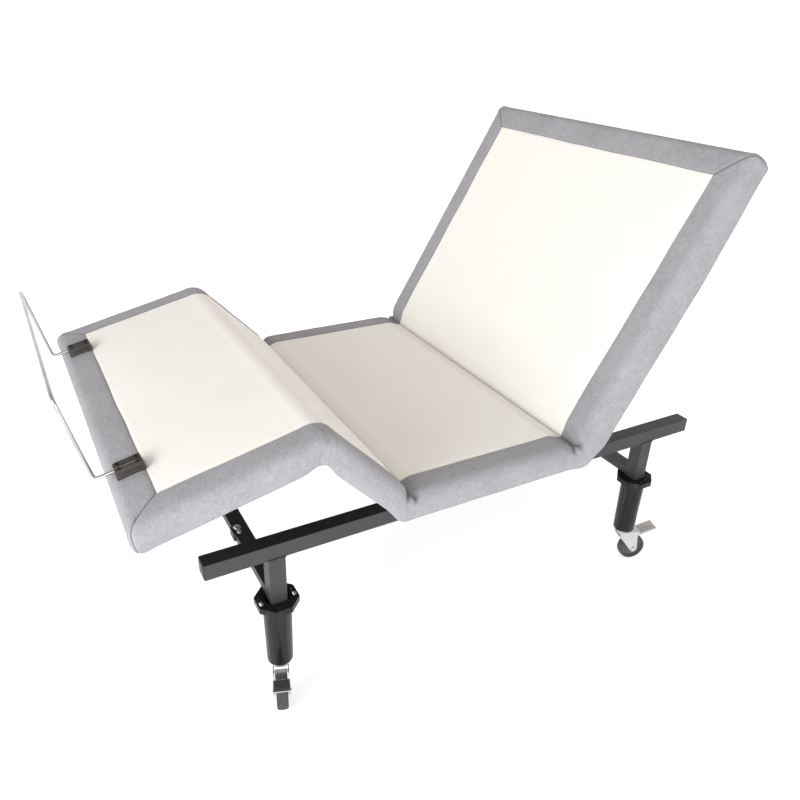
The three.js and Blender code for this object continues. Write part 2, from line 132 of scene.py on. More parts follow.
class Wire:
    # the output socket of a node, so that shader maths reads as ordinary arithmetic

    def __init__(self, finish, socket):
        self.finish = finish
        self.socket = socket

    def maths(self, operation, first, second=None):
        values = {0: first} if second is None else {0: first, 1: second}
        return self.finish.node("Math", {"operation": operation}, values)

    def __add__(self, other):
        return self.maths("ADD", self, other)

    def __radd__(self, other):
        return self.maths("ADD", other, self)

    def __sub__(self, other):
        return self.maths("SUBTRACT", self, other)

    def __rsub__(self, other):
        return self.maths("SUBTRACT", other, self)

    def __mul__(self, other):
        return self.maths("MULTIPLY", self, other)

    def __rmul__(self, other):
        return self.maths("MULTIPLY", other, self)

    def sine(self):
        return self.maths("SINE", self)

    def size(self):
        return self.maths("ABSOLUTE", self)

    def between(self, low, high):
        # 0 at low and under, 1 at high and over, smooth between
        values = {"Value": self, "From Min": low, "From Max": high}
        return self.finish.node("MapRange", {"interpolation_type": "SMOOTHSTEP"}, values)


class Finish:
    # a material around one Principled surface; constants go straight on the surface's own sockets

    def __init__(self, name, **constants):
        self.material = bpy.data.materials.new(name)
        self.material.use_nodes = True
        self.tree = self.material.node_tree
        self.surface = self.tree.nodes["Principled BSDF"]
        for socket, value in constants.items():
            self.surface.inputs[socket.replace("_", " ")].default_value = value

    def node(self, kind, settings=None, values=None, output=0):
        made = self.tree.nodes.new("ShaderNode" + kind)
        for name, value in (settings or {}).items():
            setattr(made, name, value)
        for name, value in (values or {}).items():
            self.feed(made.inputs[name], value)
        return Wire(self, made.outputs[output])

    def feed(self, socket, value):
        if isinstance(value, Wire):
            self.tree.links.new(value.socket, socket)
        else:
            socket.default_value = value

    def mixed(self, amount, first, second):
        # first where amount is 0, second where it is 1; colours are wires or (r, g, b)
        values = {0: amount, 6: self.colour(first), 7: self.colour(second)}
        return self.node("Mix", {"data_type": "RGBA"}, values, 2)

    def colour(self, value):
        return value if isinstance(value, Wire) else (*value, 1.0)

    def place(self):
        # a point of the solid in its own space, in metres
        return self.node("TexCoord", output="Object")

    def spread(self, name):
        # a value that a cover's mesh stores at its vertices
        return self.node("Attribute", {"attribute_name": name}, output="Vector")

    def parted(self, vector):
        split = self.node("SeparateXYZ", values={0: vector})
        return [Wire(self, output) for output in split.socket.node.outputs]

    def noise(self, place, scale, detail=2.0, roughness=0.5):
        values = {"Vector": place, "Scale": scale, "Detail": detail, "Roughness": roughness}
        return self.node("TexNoise", {"noise_dimensions": "3D"}, values)

    def stretched(self, vector, factors):
        return self.node("VectorMath", {"operation": "MULTIPLY"}, {0: vector, 1: factors})

    def relief(self, height, distance, normal=None):
        values = {"Height": height, "Distance": distance, "Strength": 1.0}
        if normal is not None:
            values["Normal"] = normal
        return self.node("Bump", values=values)

    def rounded(self, radius):
        # a normal that rounds the solid's sharp edges
        return self.node("Bevel", {"samples": 4}, {"Radius": radius})

    def wornEdges(self, bevel, reach=6.0):
        # 1 along a sharp edge, 0 on the flats
        faceNormal = self.node("NewGeometry", output="Normal")
        vectors = {0: bevel, 1: faceNormal}
        agreement = self.node("VectorMath", {"operation": "DOT_PRODUCT"}, vectors, "Value")
        return ((1.0 - agreement) * reach).between(0.05, 0.8)

    def set(self, **wires):
        for socket, wire in wires.items():
            self.feed(self.surface.inputs[socket.replace("_", " ")], wire)
        return self.material


fabricValues = {
    "pitch": 0.0032,
    "dark": (0.150, 0.149, 0.160),
    "light": (0.455, 0.453, 0.472),
    "seamShade": (0.10, 0.10, 0.105),
    "stitch": 0.006,
}


def greyWeave(values):
    finish = Finish("greyWeave", Specular_IOR_Level=0.15, Sheen_Weight=0.06, Sheen_Roughness=0.5)
    place = finish.spread("clothPlace")
    flatPlace = finish.stretched(place, (1.0, 1.0, 0.0))
    along, across, seam = finish.parted(place)
    turn = 2 * math.pi / values["pitch"]
    warp = (along * turn).sine()
    weft = (across * turn).sine()
    threads = warp * weft * 0.5 + 0.5
    fleck = finish.noise(flatPlace, 620.0, 2.0)
    slubs = finish.noise(finish.stretched(place, (38.0, 560.0, 0.0)), 1.0, 2.0)
    crossed = finish.noise(finish.stretched(place, (560.0, 38.0, 0.0)), 1.0, 2.0)
    cloud = finish.noise(flatPlace, 9.0, 3.0)
    tone = threads * 0.4 + fleck * 0.35 + (slubs + crossed) * 0.36 + (cloud - 0.5) * 0.18 - 0.16
    body = finish.mixed(tone.between(0.15, 0.95), values["dark"], values["light"])
    seamLine = 1.0 - (seam - 0.0005).size().between(0.0004, 0.0021)
    sewn = 2 * math.pi / values["stitch"]
    needle = (along * sewn).sine() * (across * sewn).sine()
    # painted shade: the cloth is darkened along the folds where the hinges close the top
    fold = finish.parted(finish.spread("foldShade"))[0]
    seamed = finish.mixed(seamLine * 0.75, body, values["seamShade"])
    height = threads * 0.5 + fleck * 0.4 + seamLine * (needle * 0.4 - 0.8)
    return finish.set(
        Base_Color=finish.mixed(fold * 0.72, seamed, values["seamShade"]),
        Roughness=0.72 + tone * 0.2,
        Normal=finish.relief(height, 0.0005),
    )


panelValues = {
    "pitch": 0.0034,
    "pale": (0.835, 0.825, 0.78),
    "deep": (0.79, 0.775, 0.725),
    # painted shade colour for the creases where the hinges close the top
    "crease": (0.30, 0.265, 0.24),
}


def creamPanel(values):
    finish = Finish("creamPanel", Specular_IOR_Level=0.3, Sheen_Weight=0.2, Sheen_Roughness=0.5)
    place = finish.spread("clothPlace")
    flatPlace = finish.stretched(place, (1.0, 1.0, 0.0))
    along, across = finish.parted(place)[:2]
    turn = 2 * math.pi / values["pitch"]
    grip = ((along + across) * turn).sine() * ((along - across) * turn).sine()
    dots = grip.between(0.35, 0.9)
    fleck = finish.noise(flatPlace, 800.0, 2.0)
    cloud = finish.noise(flatPlace, 5.0, 4.0)
    cloth = finish.mixed((cloud * 0.5 + fleck * 0.35).between(0.15, 0.8), values["deep"], values["pale"])
    # painted shade: the panel is darkened along the creases where the hinges close the top
    fold = finish.parted(finish.spread("foldShade"))[0]
    ruck = finish.noise(finish.stretched(place, (6.0, 9.0, 0.0)), 1.0, 2.0)
    height = dots * 0.25 + fleck * 0.2
    soft = finish.relief(ruck, 0.004)
    return finish.set(
        Base_Color=finish.mixed(fold * 0.7, cloth, values["crease"]),
        Roughness=0.62 + dots * 0.12 + (cloud - 0.5) * 0.2,
        Normal=finish.relief(height, 0.00035, soft),
    )


plyValues = {
    "film": (0.030, 0.025, 0.022),
    "faded": (0.062, 0.052, 0.045),
}


def facedPly(values):
    # dark film-faced board: a fine mesh print, the wood's grain just telegraphing through
    finish = Finish("facedPly", Specular_IOR_Level=0.35)
    place = finish.place()
    bevel = finish.rounded(0.0008)
    warp = finish.noise(finish.stretched(place, (5.0, 1.2, 5.0)), 1.0, 3.0)
    x, y, z = finish.parted(place)
    rings = (x * 95.0 + z * 95.0 + warp * 26.0).sine() * 0.5 + 0.5
    mesh = ((x + z * 0.5) * 1600.0).sine() * (y * 1600.0).sine()
    scuffs = finish.noise(finish.stretched(place, (14.0, 60.0, 14.0)), 1.0, 4.0, 0.7)
    worn = finish.wornEdges(bevel)
    tone = rings * 0.25 + scuffs.between(0.5, 0.75) * 0.5 + worn * 0.5
    return finish.set(
        Base_Color=finish.mixed(tone.between(0.1, 1.0), values["film"], values["faded"]),
        Roughness=0.42 + scuffs * 0.25,
        Normal=finish.relief(mesh * 0.5 + rings * 0.4, 0.00012, bevel),
    )


steelValues = {
    # slot: name, paint, bare steel, roughness, grain, gloss, painted shade on top, streaks with painted
    # highlight
    "black_steel": ("blackSteel", (0.030, 0.030, 0.031), (0.10, 0.10, 0.10), 0.5, 420.0, 0.34, 0.0, 0.05),
    "leg_steel": ("legSteel", (0.007, 0.007, 0.007), (0.035, 0.035, 0.035), 0.27, 520.0, 0.20, 1.0, 0.7),
}
paintedShadeColour = (0.004, 0.004, 0.004)  # painted shade: near-black for upward faces, where the bed above shades the steel


def paintedSteel(name, paint, bare, roughness, grain, gloss, topShadeShare, streaksAndHighlight):
    # powder coat with fine orange peel, rougher on top, a little worn along the edges; painted shade
    # darkens the upward faces, more towards the foot end, and the lighter vertical streaks are partly a
    # painted highlight
    finish = Finish(name, Specular_IOR_Level=gloss)
    place = finish.place()
    bevel = finish.rounded(0.0015)
    peel = finish.noise(place, grain, 2.0)
    blotch = finish.noise(place, 16.0, 3.0)
    scratches = finish.noise(finish.stretched(place, (40.0, 40.0, 260.0)), 1.0, 3.0, 0.7)
    upward = finish.parted(finish.node("NewGeometry", output="Normal"))[2]
    # painted shade on upward faces: some everywhere, nearly full towards the foot end, where the raised bed
    # shades the steel
    footward = 1.0 - finish.parted(place)[0].between(-0.5, 0.1)
    paintedTopShade = upward.between(0.55, 0.95) * (topShadeShare + footward * (0.95 - topShadeShare))
    # partly a painted highlight: lighter vertical streaks stand in for the streaked reflection down the
    # legs; the rest is marking in the coat
    streaks = finish.noise(finish.stretched(place, (75.0, 75.0, 2.5)), 1.0, 2.0).between(0.48, 0.72)
    worn = finish.wornEdges(bevel) * scratches.between(0.5, 0.68)
    coat = finish.mixed(blotch * 0.25 + streaks * streaksAndHighlight, paint, bare)
    coat = finish.mixed(paintedTopShade * 0.9, coat, paintedShadeColour)
    sheen = roughness + (peel - 0.5) * 0.05 + paintedTopShade * 0.4 - worn * 0.12
    return finish.set(
        Base_Color=finish.mixed(worn * 0.5, coat, bare),
        Roughness=sheen - streaks * streaksAndHighlight * 0.1,
        Normal=finish.relief(peel, 0.00005, bevel),
    )


zincValues = {
    "cool": (0.54, 0.55, 0.57),
    "warm": (0.63, 0.63, 0.62),
    "rubbed": (0.80, 0.80, 0.79),
}


def zincPlate(values):
    finish = Finish("zincPlate", Metallic=1.0)
    place = finish.place()
    bevel = finish.rounded(0.0006)
    grain = finish.noise(place, 900.0, 2.0)
    haze = finish.noise(place, 45.0, 3.0)
    brushed = finish.noise(finish.stretched(place, (60.0, 60.0, 1500.0)), 1.0, 2.0)
    worn = finish.wornEdges(bevel)
    tint = finish.mixed(haze.between(0.3, 0.75), values["cool"], values["warm"])
    return finish.set(
        Base_Color=finish.mixed(worn * 0.3, tint, values["rubbed"]),
        Roughness=0.24 + haze * 0.16 + brushed * 0.08,
        Normal=finish.relief(grain + brushed * 0.6, 0.00008, bevel),
    )


brightValues = {
    # slot: name, tint, least roughness, how the streaks are stretched
    "polished_rod": ("polishedRod", (0.78, 0.79, 0.80), 0.10, (20.0, 900.0, 900.0)),
    "chrome_wire": ("chromeWire", (0.48, 0.49, 0.50), 0.16, (300.0, 300.0, 300.0)),
}


def brightSteel(name, tint, low, streak):
    # ground rod or chromed wire, with fine streaks along it
    finish = Finish(name, Metallic=1.0)
    place = finish.place()
    streaks = finish.noise(finish.stretched(place, streak), 1.0, 3.0)
    smudge = finish.noise(place, 22.0, 3.0)
    darker = tuple(channel * 0.8 for channel in tint)
    return finish.set(
        Base_Color=finish.mixed(smudge.between(0.3, 0.8), tint, darker),
        Roughness=low + smudge * 0.10 + streaks * 0.05,
        Normal=finish.relief(streaks, 0.00003, finish.rounded(0.0004)),
    )


plasticValues = {
    # slot: name, body, scuffed, roughness, grain and its depth; the hubs have no slot of their own
    "wheel_rubber": ("wheelTyre", (0.034, 0.035, 0.038), (0.11, 0.11, 0.11), 0.62, 380.0, 0.0003),
    "brown_plastic": ("clampPlastic", (0.040, 0.032, 0.027), (0.10, 0.085, 0.075), 0.42, 700.0, 0.0002),
    "black_plastic": ("housingPlastic", (0.022, 0.022, 0.024), (0.075, 0.075, 0.078), 0.52, 900.0, 0.0003),
    "hub": ("hubPlastic", (0.065, 0.065, 0.068), (0.14, 0.14, 0.14), 0.5, 500.0, 0.0002),
}


def mouldedPlastic(name, body, scuffed, roughness, grain, depth):
    finish = Finish(name, Specular_IOR_Level=0.5)
    place = finish.place()
    bevel = finish.rounded(0.0010)
    leather = finish.noise(place, grain, 3.0)
    blotch = finish.noise(place, 24.0, 3.0)
    worn = finish.wornEdges(bevel)
    tone = finish.mixed(worn * 0.35 + blotch.between(0.5, 0.85) * 0.25, body, scuffed)
    return finish.set(
        Base_Color=tone,
        Roughness=roughness + (leather - 0.5) * 0.2 - worn * 0.1,
        Normal=finish.relief(leather, depth, bevel),
    )


finishes = {
    "grey_upholstery": greyWeave(fabricValues),
    "panel": creamPanel(panelValues),
    "plywood": facedPly(plyValues),
    "zinc_plate": zincPlate(zincValues),
}
finishes.update({slot: paintedSteel(*row) for slot, row in steelValues.items()})
finishes.update({slot: brightSteel(*row) for slot, row in brightValues.items()})
finishes.update({slot: mouldedPlastic(*row) for slot, row in plasticValues.items()})
for node in frame["nodes"].values():
    for holder in node.material_slots:
        holder.material = finishes[holder.material.name]
print("finishes made:", len(finishes))


def axesAt(origin, along, up):
    # a placing whose X is along and whose Z is up
    x = Vector(along).normalized()
    y = Vector(up).cross(x).normalized()
    z = x.cross(y)
    turned = Matrix((x, y, z)).transposed().to_4x4()
    return Matrix.Translation(origin) @ turned


class Shape:
    # solids added one by one, each in the piece's placing, and then made into one piece

    def __init__(self, placing=None):
        self.solids = bmesh.new()
        self.placing = placing or Matrix.Identity(4)

    def add(self, solid, local=None):
        solid.transform(self.placing @ (local or Matrix.Identity(4)))
        bmesh.ops.recalc_face_normals(solid, faces=solid.faces)
        mesh = bpy.data.meshes.new("solid")
        solid.to_mesh(mesh)
        solid.free()
        self.solids.from_mesh(mesh)
        bpy.data.meshes.remove(mesh)
        return self

    def block(self, low, high, bevel=0.001, segments=2, local=None):
        solid = bmesh.new()
        bmesh.ops.create_cube(solid, size=1.0)
        size = Vector(high) - Vector(low)
        bmesh.ops.scale(solid, vec=size, verts=solid.verts)
        bmesh.ops.translate(solid, vec=(Vector(high) + Vector(low)) / 2, verts=solid.verts)
        if bevel:
            bmesh.ops.bevel(solid, geom=solid.edges[:], offset=bevel, segments=segments,
                            affect="EDGES", profile=0.5)
        return self.add(solid, local)

    def turned(self, profile, local=None, steps=40):
        # profile is (radius, height) pairs round local Z; a radius of 0 closes on the axis
        solid = bmesh.new()
        rings = []
        for step in range(steps):
            angle = 2 * math.pi * step / steps
            c, s = math.cos(angle), math.sin(angle)
            rings.append([solid.verts.new((radius * c, radius * s, height)) for radius, height in profile])
        for first, second in zip(rings, rings[1:] + rings[:1]):
            for low, high in zip(range(len(profile) - 1), range(1, len(profile))):
                solid.faces.new((first[low], second[low], second[high], first[high]))
        bmesh.ops.remove_doubles(solid, verts=solid.verts, dist=1e-6)
        return self.add(solid, local)

    def tube(self, points, radius, sides=12, closed=False, ripple=None):
        # a round bar along points; ripple gives a radius factor at each point
        solid = bmesh.new()
        spots = [Vector(point) for point in points]
        count = len(spots)
        rings = []
        angles = [2 * math.pi * step / sides for step in range(sides)]
        side = None
        for index, spot in enumerate(spots):
            before = spots[index - 1] if index or closed else spot
            after = spots[(index + 1) % count] if index < count - 1 or closed else spot
            way = (after - before).normalized()
            if side is None:
                side = way.orthogonal().normalized()
            side = (side - way * side.dot(way)).normalized()
            other = way.cross(side)
            reach = radius * (ripple[index] if ripple else 1.0)
            around = [side * math.cos(angle) + other * math.sin(angle) for angle in angles]
            rings.append([solid.verts.new(spot + out * reach) for out in around])
        pairs = list(zip(rings, rings[1:])) + ([(rings[-1], rings[0])] if closed else [])
        for first, second in pairs:
            for step in range(sides):
                after = (step + 1) % sides
                solid.faces.new((first[step], first[after], second[after], second[step]))
        if not closed:
            solid.faces.new(rings[0])
            solid.faces.new(rings[-1])
        return self.add(solid)

    def ready(self, name, finish, body, sharp=35.0):
        mesh = bpy.data.meshes.new(name)
        self.solids.to_mesh(mesh)
        self.solids.free()
        mesh.shade_smooth()
        mesh.set_sharp_from_angle(angle=math.radians(sharp))
        piece = bpy.data.objects.new(name, mesh)
        bpy.context.collection.objects.link(piece)
        mesh.materials.append(finishes[finish])
        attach(piece, body)
        return piece


def filleted(points, radius, steps=7):
    # a path with its corners rounded
    spots = [Vector(point) for point in points]
    path = [spots[0]]
    for before, corner, after in zip(spots, spots[1:], spots[2:]):
        inward = (before - corner).normalized()
        outward = (after - corner).normalized()
        half = inward.angle(outward) / 2
        reach = radius / math.tan(half)
        centre = corner + (inward + outward).normalized() * (radius / math.sin(half))
        start = (corner + inward * reach - centre).normalized()
        end = (corner + outward * reach - centre).normalized()
        path += [centre + start.slerp(end, step / steps) * radius for step in range(steps + 1)]
    return path + [spots[-1]]


# the padded cover is drawn flat, folded up at its three hinges and parted into three
joints = {joint["name"]: joint for joint in frame["joints"]}
headAxis = np.array(joints["head_lift"]["pos_m"])
thighAxis = np.array(joints["thigh_lift"]["pos_m"])
kneeAxis = np.array(joints["knee_fold"]["pos_m"])
headAngle = math.radians(-joints["head_lift"]["range_deg"][0])
thighAngle = math.radians(-joints["thigh_lift"]["range_deg"][0])
kneeAngle = math.radians(joints["knee_fold"]["range_deg"][1])
calfSlope = kneeAngle - thighAngle


class Section:
    # one raised section's own axes: origin on its hinge, along away from it, up out of its top

    def __init__(self, origin, lean, way):
        self.origin = Vector(origin)
        self.along = Vector((way * math.cos(lean), 0, math.sin(lean)))
        self.up = Vector((-way * math.sin(lean), 0, math.cos(lean)))
        self.across = self.up.cross(self.along)

    def extent(self, name):
        # lowest and highest (along, y, up) of a CAD node
        spots = [vertex.co - self.origin for vertex in frame["nodes"][name].data.vertices]
        rows = [(spot.dot(self.along), spot.dot(self.across), spot.dot(self.up)) for spot in spots]
        return [min(column) for column in zip(*rows)], [max(column) for column in zip(*rows)]

    def placing(self):
        # X along, Y across, Z up; on a section that runs towards the foot, Y runs to the left
        return axesAt(self.origin, self.along, self.up)


seatSection = Section(thighAxis, 0.0, 1)
headSection = Section(headAxis, headAngle, 1)
thighSection = Section(thighAxis, thighAngle, -1)
calfSection = Section(kneeAxis, -calfSlope, -1)

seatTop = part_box("seat_upholstery")[1].z
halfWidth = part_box("seat_upholstery")[1].y
hingeDepth = seatTop - headAxis[2]
kneeX = thighAxis[0] - np.linalg.norm(kneeAxis - thighAxis)
footX = kneeX - calfSection.extent("calf_upholstery")[1][0]
headEndX = headAxis[0] + headSection.extent("head_upholstery")[1][0]
boardUnder = hingeDepth - seatSection.extent("seat_board")[0][2]

coverValues = {
    "border": 0.079,
    "topRounding": 0.029,
    "hemRounding": 0.012,
    "planCorner": 0.016,
    "wallThickness": 0.0203,
    "hemReach": 0.052,
    "wallBulge": 0.0016,
    "panelSink": 0.0022,
    "clothThickness": 0.0013,
    "foamUnder": 0.0222,
    "meanDepth": 0.074,
    "coarse": 0.013,
    "fine": 0.0036,
    # place from the foot end and the depth of the side there
    "depths": [(0.0, 0.066), (0.64, 0.0655), (0.70, 0.072), (1.180, 0.073), (1.21, 0.077), (1.235, 0.087),
               (1.265, 0.099), (1.29, 0.102), (1.33, 0.099), (1.75, 0.097), (2.07, 0.079)],
    "halfZones": {"knee": 0.044, "thigh": 0.030, "head": 0.036},
}

# each hinge: place in the flat cover, the fold's sign (1 where the top closes), its half-zone
hinges = {
    "knee": (kneeX, -1, coverValues["halfZones"]["knee"]),
    "thigh": (float(thighAxis[0]), 1, coverValues["halfZones"]["thigh"]),
    "head": (float(headAxis[0]), 1, coverValues["halfZones"]["head"]),
}
closingPlaces = [place for place, closing, zone in hinges.values() if closing > 0]
thighMiddle = (kneeX + thighAxis[0]) / 2
seatMiddle = (thighAxis[0] + headAxis[0]) / 2


def smooth(value):
    held = np.clip(value, 0.0, 1.0)
    return held * held * (3.0 - 2.0 * held)


def bump(value, width):
    return np.exp(-((value / width) ** 2))


def cusp(value, width):
    # like a bump, but coming to a sharp line in the middle
    return np.exp(-np.sqrt((value / width) ** 2 + 0.01) + 0.1)


def stations(start, end, values, alive):
    # places from start to end, close together near whatever alive names
    places = [start]
    while places[-1] < end:
        nearest = min(abs(places[-1] - spot) for spot in alive)
        share = float(smooth((nearest - 0.035) / 0.07))
        places.append(places[-1] + values["fine"] + (values["coarse"] - values["fine"]) * share)
    places = np.array(places)
    return start + (places - start) * (end - start) / (places[-1] - start)


def profileRings(values):
    # from the panel's seam out over the side, under the hem and back in below the foam. Each
    # ring: way in from the edge, drop, share of the side's depth in the drop, and the tilt of
    # its normal from upright
    sink, border = values["panelSink"], values["border"]
    top, hem, wall = values["topRounding"], values["hemRounding"], values["wallThickness"]
    shoulder = border - 0.004
    rings = [(border, sink, 0, 0.0), (border - 0.0012, sink * 0.6, 0, 0.0), (shoulder, 0.0002, 0, 0.0)]
    for share in (0.25, 0.5, 0.75, 1.0):
        inward = shoulder + (top - shoulder) * share
        rings.append((inward, -0.0009 * math.sin(math.pi * share), 0, 0.0))
    for step in range(1, 10):
        angle = math.pi / 2 * step / 9
        rings.append((top - top * math.sin(angle), top - top * math.cos(angle), 0, angle))
    for step in range(1, 7):
        share = step / 6
        bulge = values["wallBulge"] * math.sin(math.pi * share)
        rings.append((-bulge, top - share * (top + hem), share, math.pi / 2))
    for step in range(1, 6):
        angle = math.pi / 2 * step / 5
        rings.append((hem - hem * math.cos(angle), hem * (math.sin(angle) - 1), 1, math.pi / 2 + angle))
    rings.append((wall, -0.0022, 1, math.pi))
    under = boardUnder + 0.0004
    for share in (0.7, 0.35, 0.0):
        rings.append((wall, under * (1 - share), share, math.pi))
    inside, upper = wall + 0.0004, under - values["clothThickness"]
    rings += [(values["hemReach"], under, 0, math.pi), (values["hemReach"], upper, 0, math.pi)]
    return rings + [(inside, upper, 0, math.pi), (inside, values["foamUnder"], 0, math.pi)]


cornerSteps = 6  # points round each corner of the cover's plan


def cornerArc(x, y, radius, start):
    spots = []
    for step in range(1, cornerSteps):
        angle = math.radians(start + 90.0 * step / cornerSteps)
        outX, outY = math.cos(angle), math.sin(angle)
        spots.append((x + radius * outX, y + radius * outY, outX, outY))
    return spots


def ringPlan(inward, values, alongPlaces, acrossPlaces):
    # a ring of the cover seen from above: the left side, head end, right side and foot end
    corner = max(values["planCorner"] - inward, 0.0)
    straight = max(inward, values["planCorner"])
    x = stretchedEnds(alongPlaces, footX + straight, headEndX - straight)
    y = stretchedEnds(acrossPlaces, -halfWidth + straight, halfWidth - straight)
    foot, head, side = footX + inward, headEndX - inward, halfWidth - inward
    spots = [(place, -side, 0.0, -1.0) for place in x]
    spots += cornerArc(x[-1], y[0], corner, -90)
    spots += [(head, place, 1.0, 0.0) for place in y]
    spots += cornerArc(x[-1], y[-1], corner, 0)
    spots += [(place, side, 0.0, 1.0) for place in x[::-1]]
    spots += cornerArc(x[0], y[-1], corner, 90)
    spots += [(foot, place, -1.0, 0.0) for place in y[::-1]]
    spots += cornerArc(x[0], y[0], corner, 180)
    return np.array(spots)


def stretchedEnds(places, start, end, reach=0.16):
    # the same places, with the first and last stretches drawn out to start and end
    low, high = places[0] + reach, places[-1] - reach
    moved = np.where(places < low, start + (places - places[0]) * (low - start) / reach, places)
    return np.where(places > high, end - (places[-1] - places) * (end - high) / reach, moved)


def sideDepth(x, values):
    # how far the side hangs at x, with the table of depths rounded off
    spots, depths = zip(*values["depths"])
    shifts = np.linspace(-0.008, 0.008, 9)
    return sum(np.interp(x - footX + shift, spots, depths) for shift in shifts) / len(shifts)


def ripples(x, y, seed, wavelength):
    # soft seeded undulation between about -1 and 1
    source = np.random.default_rng(seed)
    total = np.zeros_like(x)
    for _ in range(7):
        heading, phase = source.uniform(0, math.tau, 2)
        turn = math.tau / (wavelength * source.uniform(0.7, 1.6))
        total += np.sin((x * math.cos(heading) + y * math.sin(heading)) * turn + phase)
    return total / 4.0


foldValues = {
    "groove": 0.0125,
    "puff": 0.0095,
    "spread": 0.022,
    "grooveWidth": 0.0130,
    "puffWidth": 0.0120,
    "creaseSink": 0.0100,
    "creaseWidth": 0.0120,
    "shadeWidth": 0.006,
    "seamWander": 0.0013,
    "kneeTuck": 0.0022,
    # each tuck under the knee: place from the hinge, and share of the full depth
    "kneeTucks": ((-0.016, 1.0), (0.007, 0.7), (0.025, 0.9)),
}


def foldsAcross(x, run, side, values):
    # where each hinge closes the top, the border has one groove that forks over the edge, with
    # a puff between: the grooves' and the puffs' strength at each vertex
    grooves, puffs = np.zeros_like(x), np.zeros_like(x)
    fork = values["spread"] * smooth((run - 0.045) / 0.035)
    fade = 1.0 - smooth((run - 0.068) / 0.028)
    for place, lean in zip(closingPlaces, (-0.002, 0.002)):
        offset = x - place - lean * side * smooth((run - 0.03) / 0.05)
        first = cusp(offset - fork, values["grooveWidth"])
        second = cusp(offset + fork * 0.9, values["grooveWidth"])
        grooves = np.maximum(grooves, fade * np.maximum(first, second * 0.8))
        puffs += fade * bump(offset, values["puffWidth"]) * smooth((run - 0.055) / 0.03)
        puffs += 0.25 * fade * bump(np.abs(offset) - 0.034, 0.012) * smooth((run - 0.02) / 0.03)
    return grooves, puffs


def borderSwell(x, run, tilt, cornerRun, side, values):
    # how far the outside cloth stands out from its plain shape at each vertex: mitre seams,
    # folds where a hinge closes the top, tucks under the knee, and soft unevenness
    swell = -0.0019 * bump(cornerRun, 0.0028) + 0.0011 * bump(np.abs(cornerRun) - 0.013, 0.008)
    grooves, puffs = foldsAcross(x, run, side, values)
    swell += values["puff"] * puffs - values["groove"] * grooves
    lower = smooth((run - 0.085) / 0.035)
    for tuck, height in values["kneeTucks"]:
        slant = tuck + (run - 0.12) * 0.25 * np.sign(tuck)
        swell -= values["kneeTuck"] * height * lower * bump(x - kneeX - slant, 0.0036)
    still = cutStillness(x)
    swell += 0.0007 * ripples(x, run, 11, 0.10) * still
    swell += 0.00035 * ripples(x, run, 12, 0.026) * still * bump(tilt - 0.7, 0.8)
    return swell


def cutStillness(x):
    # 0 where the cover is parted, so that the two cut faces match, and 1 a little way off
    nearest = np.minimum(np.abs(x - thighMiddle), np.abs(x - seatMiddle))
    return smooth((nearest - 0.012) / 0.05)


def seamInset(x, y):
    # how far a flat spot lies inside the panel's seam; negative outside it
    return np.minimum(halfWidth - np.abs(y), np.minimum(x - footX, headEndX - x)) - coverValues["border"]


def wandered(x, y, reach):
    # hand sewing lets the panel's seam stray a little from its straight line
    near = bump(seamInset(x, y), 0.018) * reach * cutStillness(x)
    alongEnd = smooth((np.abs(y) - halfWidth + 0.12) / 0.02)
    strayX = near * ripples(x, y, 31, 0.15) * (1 - alongEnd)
    strayY = near * ripples(x, y, 32, 0.17) * alongEnd
    return x + strayX, y + strayY


def creases(x, width):
    # 1 along each hinge that closes the top, falling off on both sides
    return np.max([cusp(x - place, width) for place in closingPlaces], axis=0)


def panelSwell(x, y, inset, values):
    # the top panel: gently full, sunk at the creases that close, drawn in along its seam
    swell = 0.0011 * smooth(inset / 0.05) - coverValues["panelSink"] * (1.0 - smooth(inset / 0.006))
    swell -= values["creaseSink"] * creases(x, values["creaseWidth"])
    for place in closingPlaces:
        swell += 0.0012 * bump(np.abs(x - place) - 0.02, 0.010) * smooth(inset / 0.02)
    still = cutStillness(x)
    swell += 0.0006 * ripples(x, y, 21, 0.23) * still * smooth(inset / 0.03)
    rucks = np.sin(x * math.tau / 0.021 + 2.0 * ripples(x, y, 23, 0.2)) + np.sin(y * math.tau / 0.023)
    return swell + 0.00022 * rucks * still * smooth(inset / 0.006) * (1 - smooth(inset / 0.03))


def sampledPlaces(values):
    # places along and across the flat cover, close together at the hinges and the panel's seam
    start, end = footX + values["border"], headEndX - values["border"]
    inner = halfWidth - values["border"]
    alive = [place for place, closing, zone in hinges.values()] + [start, end]
    cuts = [start, thighMiddle, seatMiddle, end]
    spans = [stations(a, b, values, alive) for a, b in zip(cuts, cuts[1:])]
    alongPlaces = np.concatenate([spans[0], spans[1][1:], spans[2][1:]])
    return alongPlaces, stations(-inner, inner, values, [-inner, inner])


def cornerRuns(x, y, middles):
    # how far round its ring each vertex is from the nearest mitre
    loop = np.concatenate([[0.0], np.cumsum(np.hypot(np.diff(x), np.diff(y)))])
    whole = loop[-1] + math.hypot(x[0] - x[-1], y[0] - y[-1])
    gaps = np.abs(loop[:, None] - loop[middles][None, :])
    return np.minimum(gaps, whole - gaps).min(axis=1)


